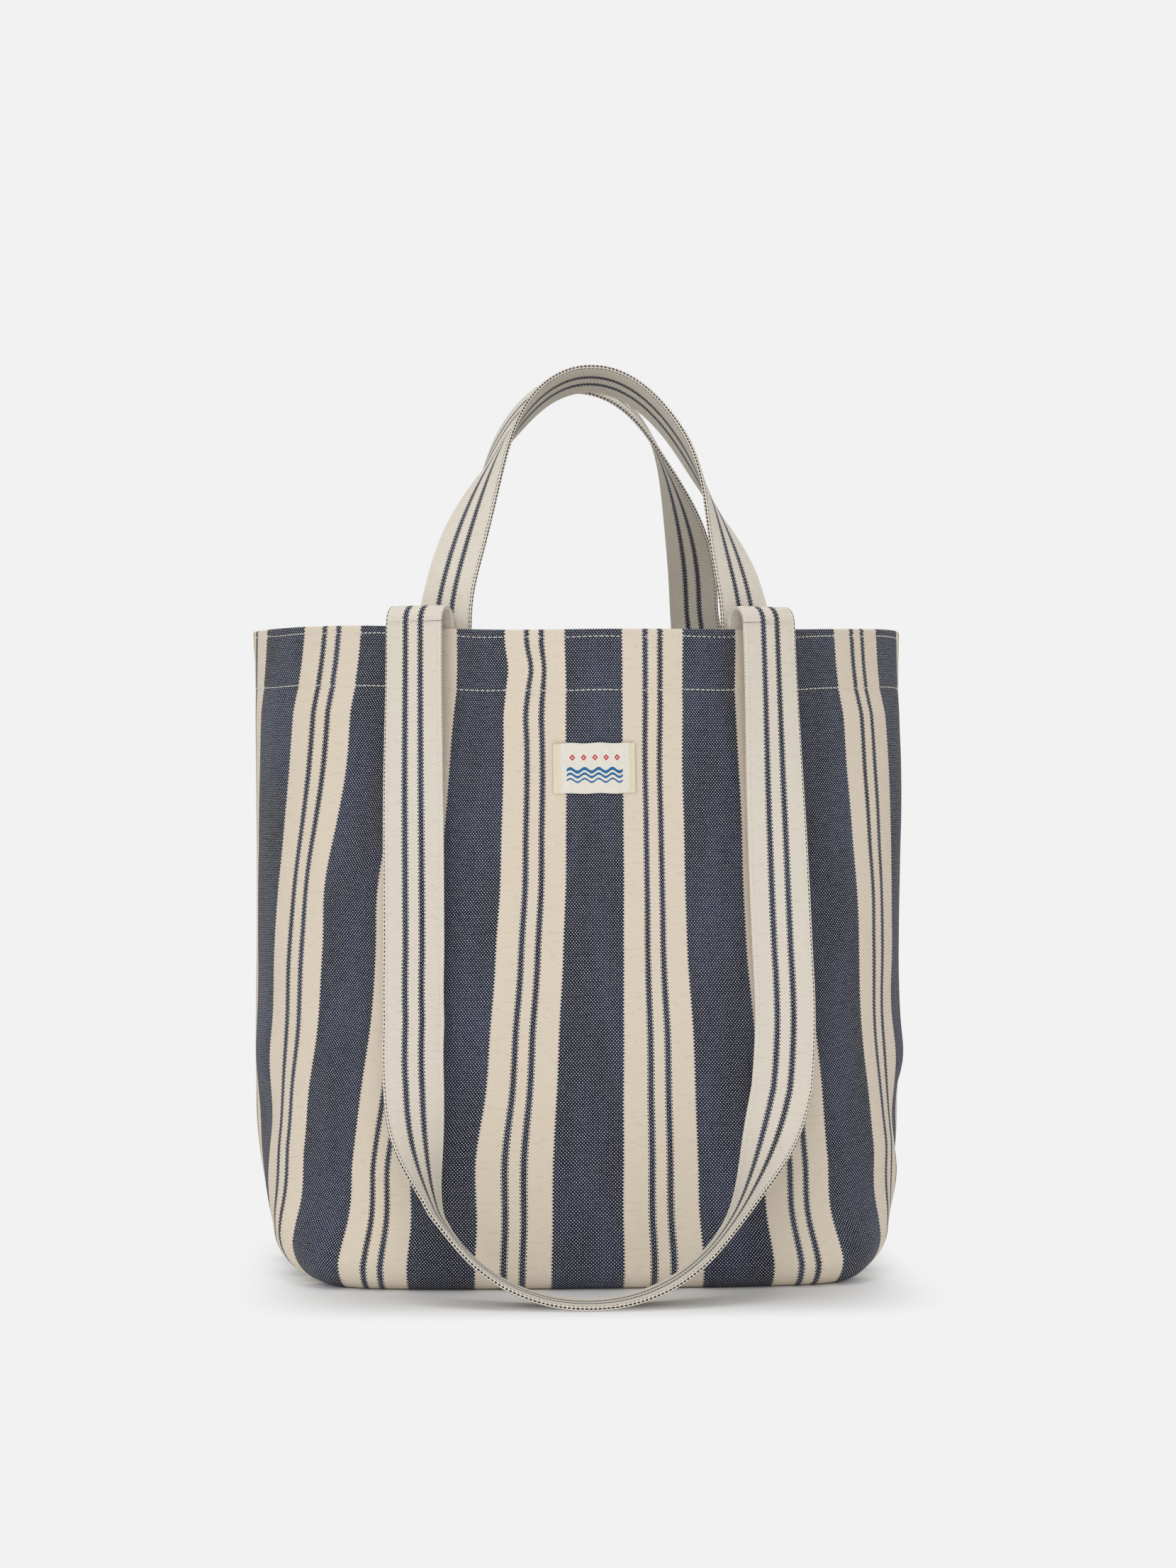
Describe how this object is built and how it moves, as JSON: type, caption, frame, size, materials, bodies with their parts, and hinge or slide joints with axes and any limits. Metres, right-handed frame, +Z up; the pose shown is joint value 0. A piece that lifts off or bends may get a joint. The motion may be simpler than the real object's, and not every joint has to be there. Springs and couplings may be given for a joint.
{
  "type": "canvas tote bag",
  "caption": "Open-topped striped canvas tote bag with a boxed base, short carrying handles, long shoulder handles folded over the rim, and a small woven label.",
  "frame": {"origin": "centre of the base, on the surface that the bag stands on", "axes": "+Z up, -Y towards the front with the woven label, +X to the right as seen from the front"},
  "size_m": [0.4028, 0.432, 0.5585],
  "materials": {
    "striped_canvas": "heavy cotton canvas woven in navy and cream stripes, matt",
    "strap_canvas": "folded cotton canvas, cream with two thin navy stripes, matt",
    "binding_tape": "cotton binding tape, matt",
    "thread": "cotton sewing thread, off-white",
    "woven_label": "damask woven label, slight sheen",
    "satin_tape": "polyester satin tape, soft sheen"
  },
  "bodies": {
    "bag": {"front_panel": "striped_canvas", "back_panel": "striped_canvas", "left_side_binding": "binding_tape", "right_side_binding": "binding_tape", "base_seam_binding": "binding_tape", "left_corner_binding": "binding_tape", "right_corner_binding": "binding_tape", "rim_stitching": "thread", "hem_stitching": "thread", "woven_label": "woven_label", "label_stitching": "thread", "front_short_handle_ends": "strap_canvas", "front_long_handle_ends": "strap_canvas", "back_short_handle_ends": "strap_canvas", "back_long_handle_ends": "strap_canvas"},
    "front_short_handle": {"front_short_handle": "strap_canvas", "front_short_handle_stitching": "thread"},
    "front_long_handle": {"front_long_handle": "strap_canvas", "front_long_handle_stitching": "thread"},
    "back_short_handle": {"back_short_handle": "strap_canvas", "back_short_handle_stitching": "thread"},
    "back_long_handle": {"back_long_handle": "strap_canvas", "back_long_handle_stitching": "thread"},
    "care_label": {"care_label": "satin_tape"}
  },
  "joints": [
    {"name": "front_short_handle_swing", "type": "hinge", "parent": "bag", "child": "front_short_handle", "pos_m": [0, -0.11119, 0.413], "axis": [1, 0, 0], "range_deg": [0, 100]},
    {"name": "back_short_handle_swing", "type": "hinge", "parent": "bag", "child": "back_short_handle", "pos_m": [0, 0.11119, 0.413], "axis": [1, 0, 0], "range_deg": [-100, 0]},
    {"name": "front_long_handle_swing", "type": "hinge", "parent": "bag", "child": "front_long_handle", "pos_m": [0, -0.12415, 0.396], "axis": [1, 0, 0], "range_deg": [-150, 0]},
    {"name": "back_long_handle_swing", "type": "hinge", "parent": "bag", "child": "back_long_handle", "pos_m": [0, 0.12415, 0.396], "axis": [1, 0, 0], "range_deg": [0, 150]},
    {"name": "care_label_turn", "type": "hinge", "parent": "bag", "child": "care_label", "pos_m": [-0.1915, 0.0068, 0.26], "axis": [0, 0, 1], "range_deg": [-160, 0]}
  ]
}
